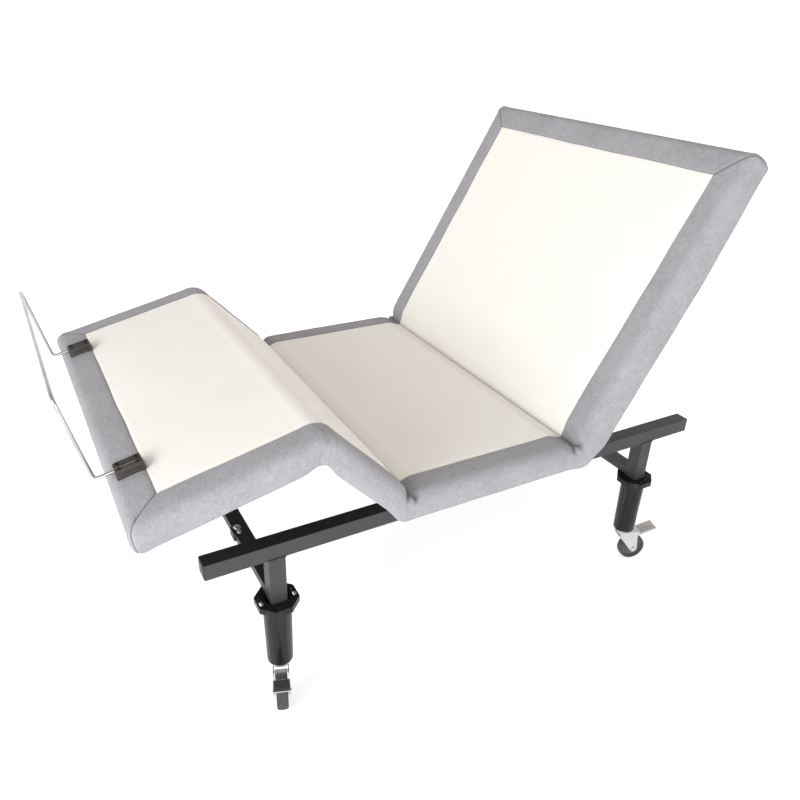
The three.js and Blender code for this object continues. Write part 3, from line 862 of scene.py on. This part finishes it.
def sideRing(ring, run, places, middles, values):
    # one ring of the side: its vertices, what the cloth's finish reads there, and the plain x
    inward, drop, share, tilt = ring
    x, y, outX, outY = ringPlan(inward, values, *places).T
    cornerRun = cornerRuns(x, y, middles)
    z = seatTop - drop - share * sideDepth(x, values)
    x, y = wandered(x, y, foldValues["seamWander"])
    side, outside = np.sign(y), tilt < 0.99 * math.pi
    swell, grooves, seam = 0.0 * x, 0.0 * x, run + 0.0 * x
    if outside:
        leaving = smooth(run / 0.006)
        sunk = foldValues["creaseSink"] * creases(x, foldValues["creaseWidth"]) * (1 - leaving)
        swell = borderSwell(x, run, tilt, cornerRun, side, foldValues) * leaving - sunk
        grooves = foldsAcross(x, run, side, foldValues)[0]
        seam = np.minimum(run, cornerRun)
    push = math.sin(tilt) * swell
    spots = np.stack([x + outX * push, y + outY * push, z + math.cos(tilt) * swell], axis=1)
    unrolled = run + inward - values["border"]
    return spots, np.stack([x + outX * unrolled, y + outY * unrolled, seam, grooves], axis=1), x


def flatSheet(inward, drop, isPanel, places, values):
    # the top panel, or the sheet that closes the cover against the foam: the same three things
    straight = max(inward, values["planCorner"])
    gridX = stretchedEnds(places[0], footX + straight, headEndX - straight)
    gridY = stretchedEnds(places[1], -halfWidth + straight, halfWidth - straight)
    x, y = [axis.ravel() for axis in np.meshgrid(gridX, gridY, indexing="ij")]
    z = np.full_like(x, seatTop - drop)
    plainInset = seamInset(x, y)
    x, y = wandered(x, y, foldValues["seamWander"])
    shade = 0.0 * x
    if isPanel:
        z += panelSwell(x, y, plainInset, foldValues)
        shade = creases(x, foldValues["shadeWidth"])
    cloth = np.stack([x, y, -np.maximum(seamInset(x, y), 0), shade], axis=1)
    return np.stack([x, y, z], axis=1), cloth, x


def drawnFlat(values):
    # every vertex of the whole cover laid flat, with what the cloth's finish reads, and the faces
    places = sampledPlaces(values)
    rings = profileRings(values)
    heights = [drop + share * values["meanDepth"] for inward, drop, share, tilt in rings]
    steps = [math.hypot(a[0] - b[0], c - d) for a, b, c, d in zip(rings[1:], rings, heights[1:], heights)]
    runs = np.concatenate([[0.0], np.cumsum(steps)])
    along, across = len(places[0]), len(places[1])
    count = 2 * (along + across) + 4 * (cornerSteps - 1)
    middles = [along + cornerSteps // 2 - 1, along + across + cornerSteps + cornerSteps // 2 - 2]
    middles += [middle + count // 2 for middle in middles]
    parts = [sideRing(ring, run, places, middles, values) for ring, run in zip(rings, runs)]
    faces, kinds = [], []
    for upper in range(0, (len(rings) - 1) * count, count):
        lower = upper + count
        for index in range(count):
            following = (index + 1) % count
            faces.append((upper + index, upper + following, lower + following, lower + index))
        kinds += [0] * count
    for inward, drop, kind in ((values["border"], 0.0, 1), (rings[-1][0], rings[-1][1], 2)):
        first = sum(len(part[0]) for part in parts)
        parts.append(flatSheet(inward, drop, kind == 1, places, values))
        for i in range(along - 1):
            for j in range(across - 1):
                corner = first + i * across + j
                faces.append((corner, corner + across, corner + across + 1, corner + 1))
                kinds.append(kind)
    spots, cloth, plainX = [np.concatenate(column) for column in zip(*parts)]
    return spots, cloth, plainX, faces, kinds


def turnedAbout(spots, axis, angle, sense):
    # spots turned about a hinge that runs across the bed; sense 1 lifts what lies towards +X
    x, z = spots[:, 0] - axis[0], spots[:, 2] - axis[2]
    c, s = np.cos(angle), sense * np.sin(angle)
    return np.stack([axis[0] + x * c - z * s, spots[:, 1], axis[2] + x * s + z * c], axis=1)


def blendEnds(axis, towardsA, towardsB, zone):
    # where the blend starts and ends: along the fold's own middle line, through the hinge
    way = (towardsB - towardsA) / np.linalg.norm(towardsB - towardsA)
    return axis - way * zone, axis + way * zone


def foldedUp(spots, axis, angle, sense, ends, turning):
    # the raised place of each flat spot, agreeing with the weight that the blend gives there:
    # turning is 1 where the second body is the one that moves, and 0 where the first one is
    start, end = ends
    way = (end - start) / np.linalg.norm(end - start) ** 2
    low, high = np.zeros(len(spots)), np.ones(len(spots))
    for _ in range(26):
        weight = (low + high) / 2
        share = weight if turning else 1.0 - weight
        raised = turnedAbout(spots, axis, angle * share, sense)
        wanted = smooth((raised - start) @ way)
        low, high = np.where(wanted > weight, weight, low), np.where(wanted > weight, high, weight)
    weight = (low + high) / 2
    return turnedAbout(spots, axis, angle * (weight if turning else 1.0 - weight), sense)


towards = {
    "calf": np.array(calfSection.along),
    "thigh": np.array(thighSection.along),
    "seat": np.array(seatSection.along),
    "head": np.array(headSection.along),
}
blends = {
    "foot_cover": ("calf_section", "thigh_section",
                   blendEnds(kneeAxis, towards["calf"], -towards["thigh"], hinges["knee"][2])),
    "middle_cover": ("thigh_section", "base",
                     blendEnds(thighAxis, towards["thigh"], towards["seat"], hinges["thigh"][2])),
    "head_cover": ("base", "head_section",
                   blendEnds(headAxis, -towards["seat"], towards["head"], hinges["head"][2])),
}


def coverPiece(name, spots, cloth, faces, kinds, replaced):
    mesh = bpy.data.meshes.new(name)
    used = sorted({index for face in faces for index in face})
    renumbered = {old: new for new, old in enumerate(used)}
    mesh.from_pydata(spots[used].tolist(), [], [[renumbered[index] for index in face] for face in faces])
    mesh.polygons.foreach_set("material_index", [1 if kind == 1 else 0 for kind in kinds])
    stored = {"clothPlace": cloth[used, :3], "foldShade": np.repeat(cloth[used, 3:], 3, axis=1)}
    for label, vectors in stored.items():
        store = mesh.attributes.new(label, "FLOAT_VECTOR", "POINT")
        store.data.foreach_set("vector", vectors.astype(np.float32).ravel())
    solid = bmesh.new()
    solid.from_mesh(mesh)
    bmesh.ops.remove_doubles(solid, verts=solid.verts, dist=2e-5)
    loose = [edge for edge in solid.edges if edge.is_boundary]
    for cap in bmesh.ops.edgeloop_fill(solid, edges=loose)["faces"]:
        for edge in cap.edges:
            edge.smooth = False
    for face in solid.faces:
        face.smooth = True
    bmesh.ops.recalc_face_normals(solid, faces=solid.faces)
    openEdges = sum(edge.is_boundary for edge in solid.edges)
    solid.to_mesh(mesh)
    solid.free()
    piece = bpy.data.objects.new(name, mesh)
    bpy.context.collection.objects.link(piece)
    for slot in ("grey_upholstery", "panel"):
        mesh.materials.append(finishes[slot])
    bodyA, bodyB, (start, end) = blends[name]
    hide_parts(*replaced)
    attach(piece, bodyA)
    piece.parent = None
    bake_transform(piece)
    print(name, "has", len(mesh.vertices), "vertices and", openEdges, "open edges")


def makeCovers(values):
    flat, cloth, plainX, faces, kinds = drawnFlat(values)
    raised = flat.copy()
    headPart, footPart = plainX >= seatMiddle, plainX < thighMiddle
    middlePart = ~headPart & ~footPart
    raised[headPart] = foldedUp(flat[headPart], headAxis, headAngle, 1, blends["head_cover"][2], True)
    ends = blends["middle_cover"][2]
    raised[middlePart] = foldedUp(flat[middlePart], thighAxis, thighAngle, -1, ends, False)
    onThigh = turnedAbout(flat[footPart], thighAxis, thighAngle, -1)
    raised[footPart] = foldedUp(onThigh, kneeAxis, kneeAngle, 1, blends["foot_cover"][2], False)
    middles = plainX[np.array(faces)].mean(axis=1)
    parts = [
        ("foot_cover", middles < thighMiddle, ["calf_upholstery", "thigh_upholstery"]),
        ("middle_cover", (middles >= thighMiddle) & (middles < seatMiddle), ["seat_upholstery"]),
        ("head_cover", middles >= seatMiddle, ["head_upholstery"]),
    ]
    for name, chosen, replaced in parts:
        picked = np.nonzero(chosen)[0]
        coverPiece(name, raised, cloth, [faces[i] for i in picked], [kinds[i] for i in picked], replaced)


makeCovers(coverValues)
print("covers made")


stapleValues = {
    "pitch": 0.046,
    "crown": 0.011,
    "wire": 0.0008,
    "inFromEdge": 0.037,
    "belowBoard": 0.0023,
    "fromFreeEnd": 0.020,
}


def makeStaples(values):
    # each row: section, body, the board whose edge it follows, and whether its far end is free
    rows = [
        (calfSection, "calf_section", "calf_board", True),
        (thighSection, "thigh_section", "thigh_board", False),
        (seatSection, "base", "seat_board", False),
        (headSection, "head_section", "head_board", True),
    ]
    for section, body, board, freeEnd in rows:
        low, high = section.extent(board)
        shape = Shape(section.placing())
        height = low[2] - values["belowBoard"]
        side = halfWidth - values["inFromEdge"]
        end = high[0] - values["fromFreeEnd"]
        crown, wire = values["crown"] / 2, values["wire"]
        places = np.arange(low[0] + 0.05, end - 0.02, values["pitch"])
        spots = [(place, across, crown, wire) for place in places for across in (-side, side)]
        if freeEnd:
            places = np.arange(-side + 0.04, side - 0.02, values["pitch"])
            spots += [(end, across, wire, crown) for across in places]
        for x, y, halfX, halfY in spots:
            low, high = (x - halfX, y - halfY, height - wire), (x + halfX, y + halfY, height)
            shape.block(low, high, 0.0003, 1)
        shape.ready(body.replace("_section", "") + "_staples", "zinc_plate", body)


makeStaples(stapleValues)
print("staples set")


retainerValues = {
    "wire": 0.004,
    "bendRadius": 0.021,
    "footBend": 0.012,
    "insert": 0.052,
    "ribs": 3,
    "clampBase": 0.0075,
    "slot": 0.0052,
    "screwHead": 0.0048,
}


def makeRetainer(values):
    low, high = calfSection.extent("retainer_bar")
    wire = values["wire"]
    out, side, top, bottom = high[0] - wire, high[1] - wire, high[2] - wire, low[2] + wire
    start = calfSection.extent("retainer_clamp_left")[1][0] - values["insert"]
    foot = [(start, -side, bottom), (out, -side, bottom), (out, -side, top), (out, side, top),
            (out, side, bottom), (start, side, bottom)]
    path = filleted(foot[:3], values["footBend"])[:-1]
    path += filleted([foot[1], foot[2], foot[3], foot[4]], values["bendRadius"])[1:-1]
    path += filleted(foot[3:], values["footBend"])[1:]
    shape = Shape(calfSection.placing())
    shape.tube(path, wire, 16)
    piece = shape.ready("retainer_wire", "chrome_wire", "retainer")
    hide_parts("retainer_bar")


def makeClamp(values, side):
    name = "retainer_clamp_" + side
    low, high = calfSection.extent(name)
    middle = (low[1] + high[1]) / 2
    slot = values["slot"]
    base = low[2] + values["clampBase"]
    shape = Shape(calfSection.placing())
    shape.block(low, (high[0], high[1], base), 0.0018)
    for near, far in ((low[1] + 0.001, middle - slot), (middle + slot, high[1] - 0.001)):
        shape.block((low[0] + 0.001, near, base - 0.001), (high[0] - 0.001, far, high[2] - 0.003), 0.0022)
        start, end = low[0] + 0.002, high[0] - 0.002
        pitch = (far - near - 0.002) / values["ribs"]
        for rib in range(values["ribs"]):
            across = near + 0.001 + rib * pitch
            top = high[2] - 0.0004 * rib
            shape.block((start, across, high[2] - 0.005), (end, across + pitch * 0.6, top), 0.0006)
        a, b = (near - 0.0012, near + 0.001) if near < middle else (far - 0.001, far + 0.0012)
        for rib in range(values["ribs"]):
            height = base + 0.0015 + rib * 0.0030
            shape.block((start, a, height), (end, b, height + 0.0016), 0.0005)
    # the web that closes the slot on the hinge side
    near, far = middle - slot - 0.001, middle + slot + 0.001
    shape.block((low[0] + 0.001, near, base - 0.001), (low[0] + 0.005, far, high[2] - 0.004), 0.001)
    piece = shape.ready(name.replace("retainer_", "ribbed_"), "brown_plastic", "calf_section")
    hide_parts(name)
    head = values["screwHead"]
    screws = Shape(calfSection.placing())
    profile = [(0, 0.0026), (head * 0.55, 0.0024), (head, 0.0010), (head, 0.0), (0, 0.0)]
    for place in (low[0] + 0.011, high[0] - 0.011):
        for across in (low[1] + 0.0085, high[1] - 0.0085):
            screws.turned(profile, Matrix.Translation((place, across, high[2] - 0.0012)), 18)
    screws.ready("clamp_screws_" + side, "leg_steel", "calf_section")


makeRetainer(retainerValues)
for side in ("left", "right"):
    makeClamp(retainerValues, side)
print("retainer made")


frameValues = {
    "plug": 0.0016,
    "bead": 0.0021,
    "beadStep": 0.0035,
    "boltHead": 0.0085,
    "boltPlaces": (-0.142, -0.162),
    "boltInset": 0.011,
    "bracketPlace": 0.153,
    "bracketHalf": 0.017,
    "hingeNut": 0.0078,
}


def makeEndPlugs(values):
    for side in ("left", "right"):
        low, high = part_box("rail_" + side)
        shape = Shape()
        edge = 0.0012
        for face, way in ((low.x, -1), (high.x, 1)):
            a, b = sorted((face + way * 0.0002, face + way * (0.0002 + values["plug"])))
            shape.block((a, low.y + edge, low.z + edge), (b, high.y - edge, high.z - edge), 0.0007)
        shape.ready("rail_plugs_" + side, "black_plastic", "base")


def weldBead(shape, middle, half, height, values):
    # a rippled bead round a square tube, where it meets the face at height
    reach = half + values["bead"] * 0.4
    corners = [(-reach, -reach), (reach, -reach), (reach, reach), (-reach, reach)]
    path = []
    for (x0, y0), (x1, y1) in zip(corners, corners[1:] + corners[:1]):
        count = int(2 * reach / values["beadStep"] * 2)
        for step in range(count):
            share = step / count
            x, y = x0 + (x1 - x0) * share, y0 + (y1 - y0) * share
            path.append((middle[0] + x, middle[1] + y, height))
    ripple = [1.0 + 0.16 * math.sin(index * math.pi / 2) for index in range(len(path))]
    shape.tube(path, values["bead"], 8, True, ripple)


def makeWelds(values):
    for side in ("left", "right"):
        for end in ("foot", "head"):
            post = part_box("post_" + end + "_" + side)
            shape = Shape()
            middle = (post[0] + post[1]) / 2
            weldBead(shape, middle, (post[1].x - post[0].x) / 2, post[1].z, values)
            shape.ready("post_weld_" + end + "_" + side, "black_steel", "base", 60.0)


def dome(head):
    # the outline of a domed head of that radius, on its washer
    return [(0, head * 0.62), (head * 0.45, head * 0.56), (head * 0.8, head * 0.38), (head, head * 0.12),
            (head, 0.0), (head * 1.35, 0.0), (head * 1.35, -0.0012), (0, -0.0012)]


def makeCrossBolts(values):
    for end, outward in (("foot", -1), ("head", 1)):
        low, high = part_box("cross_tube_" + end)
        face = low.x if outward < 0 else high.x
        edge = face - outward * values["boltInset"]
        shape = Shape()
        for index, across in enumerate(values["boltPlaces"]):
            head = values["boltHead"] * (1.0 - 0.35 * index)
            for mirrored in (across, -across):
                shape.turned(dome(head), Matrix.Translation((edge, mirrored, high.z + 0.0012)), 24)
        shape.ready("cross_bolts_" + end, "zinc_plate", "base")
        bracket = Shape()
        a, b = sorted((face + outward * 0.0003, face + outward * 0.0058))
        half = values["bracketHalf"]
        for mirrored in (-values["bracketPlace"], values["bracketPlace"]):
            corner = (b, mirrored + half, high.z + 0.004)
            bracket.block((a, mirrored - half, low.z + 0.002), corner, 0.0012)
        bracket.ready("cross_bracket_" + end, "black_steel", "base")


def makeHingeNuts(values):
    # a push nut on each end of the three hinge rods
    rods = {"head_hinge_rod": "base", "thigh_hinge_rod": "base", "knee_rod": "thigh_section"}
    for rod, body in rods.items():
        low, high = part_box(rod)
        middle = (low + high) / 2
        shape = Shape()
        for end, way in ((low.y, -1), (high.y, 1)):
            origin = (middle.x, end - way * 0.0016, middle.z)
            shape.turned(dome(values["hingeNut"]), axesAt(origin, (1, 0, 0), (0, way, 0)), 28)
        shape.ready(rod.replace("_rod", "") + "_nuts", "zinc_plate", body)


makeEndPlugs(frameValues)
makeWelds(frameValues)
makeCrossBolts(frameValues)
makeHingeNuts(frameValues)
print("underframe detailed")


casterValues = {
    "tyreDepth": 0.0095,
    "tyreHalf": 0.0145,
    "crownFullness": 0.42,
    "boss": 0.0110,
    "axleHole": 0.0044,
    "pedalStart": (0.056, 0, 0.104),
    "pedalEnd": (0.106, 0, 0.119),
    "treadBands": ((0.060, 0.077), (0.0805, 0.0975)),
    "bandHalfWidth": 0.0185,
    "treadFinish": {"foot": "wheel_rubber", "head": "zinc_plate"},  # at the head end they are plated
    "ridges": 5,
}


def casterPlacing(place):
    # under the leg, with X towards the wheel's axle and Z up
    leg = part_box("leg_" + place)
    middle = (leg[0] + leg[1]) / 2
    axle = Vector(joints["roll_" + place]["pos_m"])
    return axesAt((middle.x, middle.y, 0), (axle.x - middle.x, axle.y - middle.y, 0), (0, 0, 1)), axle


def bothFaces(half):
    # a closed outline: one half's (radius, height) pairs, and the same below the middle
    return half + [(radius, -height) for radius, height in reversed(half)] + half[:1]


def makeWheel(place, values):
    placing, axle = casterPlacing(place)
    radius = axle.z
    local = placing.inverted() @ axle
    turnedWay = Matrix.Translation(local) @ Matrix.Rotation(math.pi / 2, 4, "X")
    rim, half, boss = radius - values["tyreDepth"], values["tyreHalf"], values["boss"]
    # the tyre: one full round crown, with a fine mould line round its middle
    profile = []
    for turn in np.linspace(0, math.pi, 29):
        height = half * math.cos(turn)
        crown = (radius - rim) * math.sin(turn) ** values["crownFullness"]
        mould = 0.0003 if abs(height) < 0.0004 else 0.0
        profile.append((rim + crown - mould, height))
    profile.append(profile[0])
    tyre = Shape(placing)
    tyre.turned(profile, turnedWay, 72)
    tyrePiece = tyre.ready("tyre_" + place, "wheel_rubber", "wheel_" + place)
    # the hub: a rim ring, a boss and a dished web between them
    hub = Shape(placing)
    inner = rim - 0.0001
    lip = [(inner, 0.0128), (inner - 0.003, 0.0132), (inner - 0.0035, 0.0050)]
    hub.turned(bothFaces(lip), turnedWay, 60)
    middle = [(values["axleHole"], 0.0149), (boss - 0.001, 0.0149), (boss, 0.0139)]
    hub.turned(bothFaces(middle), turnedWay, 36)
    dish = [(boss - 0.0005, 0.0112), (boss + 0.003, 0.0098), (0.021, 0.0092), (0.0222, 0.0102),
            (0.0240, 0.0102), (0.0252, 0.0090), (inner - 0.0034, 0.0096)]
    hub.turned(bothFaces(dish), turnedWay, 60)
    hubPiece = hub.ready("hub_" + place, "wheel_rubber", "wheel_" + place)
    hubPiece.data.materials[0] = finishes["hub"]
    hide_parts("caster_wheel_" + place)
    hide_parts("caster_wheel_" + place)


def makePedalTread(place, values):
    # two ridged bands on the sloping pedal
    placing = casterPlacing(place)[0]
    low, high = Vector(values["pedalStart"]), Vector(values["pedalEnd"])
    slope = (high - low).normalized()
    half = values["bandHalfWidth"]
    tread = Shape(placing @ axesAt(low, slope, slope.cross(Vector((0, 1, 0)))))
    for start, end in values["treadBands"]:
        a, b = (start - low.x) / slope.x, (end - low.x) / slope.x
        tread.block((a, -half, 0.0001), (b, half, 0.0012), 0.0004)
        pitch = (b - a) / values["ridges"]
        for ridge in range(values["ridges"]):
            spot, reach = a + (ridge + 0.5) * pitch, pitch * 0.28
            corner = (spot + reach, half - 0.001, 0.0020)
            tread.block((spot - reach, -half + 0.001, 0.0010), corner, 0.0004, 1)
    tread.ready("pedal_tread_" + place, values["treadFinish"][place.split("_")[0]], "pedal_" + place)


def makeSwivelCup(place):
    # the turned cup between the leg and the caster's fork; depths are from the leg's end
    depths = [(0, 0.0004), (0.0125, 0.0004), (0.0125, 0.0030), (0.0235, 0.0045), (0.0258, 0.0062),
              (0.0262, 0.0085), (0.0255, 0.0100), (0, 0.0100)]
    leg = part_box("leg_" + place)[0].z
    shape = Shape(casterPlacing(place)[0])
    shape.turned([(radius, leg - depth) for radius, depth in depths], steps=48)
    shape.ready("swivel_cup_" + place, "zinc_plate", "caster_" + place)


for end in ("foot", "head"):
    for side in ("left", "right"):
        makeWheel(end + "_" + side, casterValues)
        makePedalTread(end + "_" + side, casterValues)
        makeSwivelCup(end + "_" + side)
print("casters made")


gearValues = {
    "bandInner": 0.0221,
    "bandRadius": 0.0232,
    "bands": ((0.0005, 0.012), (0.045, 0.006), (0.100, 0.006)),  # place and width
    "vents": 7,
    "ventPitch": 0.016,
}


def makePushCollars(name, values):
    # three collars round the push tube, from its open end inwards
    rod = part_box(name + "_push_rod")
    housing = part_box(name + "_actuator")
    z = (rod[0].z + rod[1].z) / 2
    y = (rod[0].y + rod[1].y) / 2
    way = 1 if name == "head" else -1
    front = housing[1].x if way > 0 else housing[0].x
    shape = Shape(axesAt((front, y, z), (-way, 0, 0), (0, 0, 1)))
    lengthwise = Matrix.Rotation(math.pi / 2, 4, "Y")
    inner, outer = values["bandInner"], values["bandRadius"]
    for place, width in values["bands"]:
        end = place + width
        ring = [(inner, place), (outer, place + 0.001), (outer + 0.0006, place + width / 2),
                (outer, end - 0.001), (inner, end), (inner, place)]
        shape.turned(ring, lengthwise, 44)
    shape.ready(name + "_push_collar", "black_plastic", "base")


def makeControlDetail(values):
    low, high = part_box("control_box")
    shape = Shape()
    middle = (low.y + high.y) / 2
    for vent in range(values["vents"]):
        place = low.x + 0.045 + vent * values["ventPitch"]
        corner = (place + 0.007, middle + 0.036, low.z + 0.0002)
        shape.block((place, middle - 0.036, low.z - 0.0018), corner, 0.0007, 1)
    shape.ready("control_box_ribs", "black_plastic", "base")
    screws = Shape()
    profile = [(0, -0.0016), (0.003, -0.0014), (0.0042, -0.0004), (0.0042, 0.0004), (0, 0.0004)]
    for x in (low.x + 0.024, high.x - 0.012):
        for y in (low.y + 0.012, high.y - 0.012):
            screws.turned(profile, Matrix.Translation((x, y, low.z)), 16)
    screws.ready("control_box_screws", "zinc_plate", "base")


for name in ("head", "thigh"):
    makePushCollars(name, gearValues)
makeControlDetail(gearValues)
print("lift gear detailed")


def makeFloor(values):
    finish = Finish("studioFloor", Specular_IOR_Level=0.2, Emission_Strength=values["floorGlow"])
    place = finish.place()
    cloud = finish.noise(place, 1.3, 3.0)
    deeper = tuple(channel * 0.97 for channel in values["floor"])
    tone = finish.mixed(cloud, values["floor"], deeper)
    material = finish.set(Base_Color=tone, Emission_Color=tone, Roughness=0.75 + cloud * 0.1)
    # a wide flat disc whose far rim sweeps up
    solid = bmesh.new()
    rings = []
    sides = values["floorSides"]
    angles = np.linspace(0, math.tau, sides + 1)[:-1]
    for radius, height in values["floorSweep"]:
        spots = [(radius * math.cos(angle), radius * math.sin(angle), height) for angle in angles]
        rings.append([solid.verts.new(spot) for spot in spots])
    solid.faces.new(rings[0])
    for inner, outer in zip(rings, rings[1:]):
        for near in range(sides):
            far = (near + 1) % sides
            solid.faces.new((inner[near], outer[near], outer[far], inner[far]))
    mesh = bpy.data.meshes.new("floor")
    solid.to_mesh(mesh)
    solid.free()
    mesh.shade_smooth()
    mesh.materials.append(material)
    floor = bpy.data.objects.new("floor", mesh)
    floor.location.z = -0.001
    bpy.context.collection.objects.link(floor)


makeFloor(lightValues)
